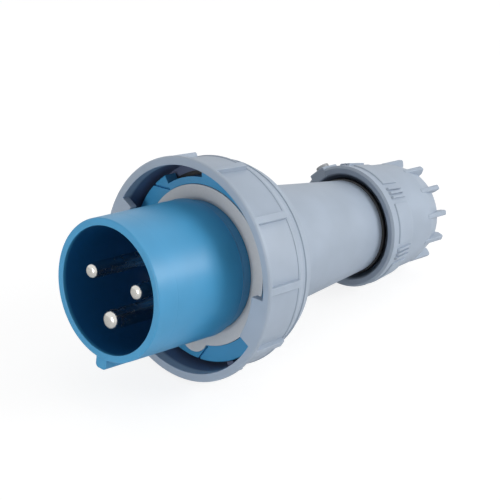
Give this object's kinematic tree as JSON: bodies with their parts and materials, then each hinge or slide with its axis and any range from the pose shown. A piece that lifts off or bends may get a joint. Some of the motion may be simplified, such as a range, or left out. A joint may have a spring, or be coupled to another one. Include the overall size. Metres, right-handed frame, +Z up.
{
  "type": "industrial pin and sleeve plug",
  "caption": "Round power plug with shrouded contact pins, a turning bayonet ring, a tapered grip and a screw-on cable gland cap.",
  "frame": {"origin": "on the surface that the plug lies on, below the middle of the whole plug", "axes": "+Z up, +Y towards the cable end; the pins point to -Y and slightly up, and the key is at the bottom"},
  "size_m": [0.1152, 0.2424, 0.1157],
  "materials": {
    "shroud_blue": "satin moulded polyamide",
    "grip_grey": "satin moulded polyamide",
    "pin_plated": "nickel plated",
    "gasket_grey": "matt",
    "seal_black": "matt",
    "washer_black": "smooth acetal",
    "screw_steel": "zinc plated",
    "insert_brass": "turned",
    "inner_plastic": "moulded, unpigmented",
    "grommet_rubber": "matt"
  },
  "bodies": {
    "root": {"front_shroud": "shroud_blue", "face_gasket": "gasket_grey", "line_pin": "pin_plated", "neutral_pin": "pin_plated", "earth_pin": "pin_plated", "pin_seals": "seal_black", "pin_retainer": "inner_plastic", "retainer_screws": "screw_steel", "terminal_screws": "screw_steel", "housing_screws": "screw_steel", "friction_washer": "washer_black", "rear_housing": "grip_grey", "housing_seal": "seal_black", "cap_seal": "seal_black", "clamping_cage": "inner_plastic", "cable_grommet": "grommet_rubber"},
    "locking_ring": {"locking_ring": "grip_grey"},
    "thrust_washer": {"thrust_washer": "inner_plastic"},
    "gland_cap": {"gland_cap": "grip_grey", "lock_screw": "screw_steel", "lock_insert": "insert_brass"}
  },
  "joints": [
    {"name": "ring_turn", "type": "hinge", "parent": "root", "child": "locking_ring", "pos_m": [0, -0.04613, 0.05621], "axis": [0, 0.9878, -0.1555], "range_deg": [-47, 13]},
    {"name": "cap_travel", "type": "slide", "parent": "root", "child": "thrust_washer", "axis": [0, 0.9878, -0.1555], "range_m": [0, 0.009]},
    {"name": "cap_turn", "type": "hinge", "parent": "thrust_washer", "child": "gland_cap", "pos_m": [0, 0.0892, 0.0349], "axis": [0, 0.9878, -0.1555], "range_deg": [0, 1080]}
  ],
  "couplings": [
    {"joint": "cap_travel", "follows": "cap_turn", "m_per_rad": 0.00047746}
  ]
}
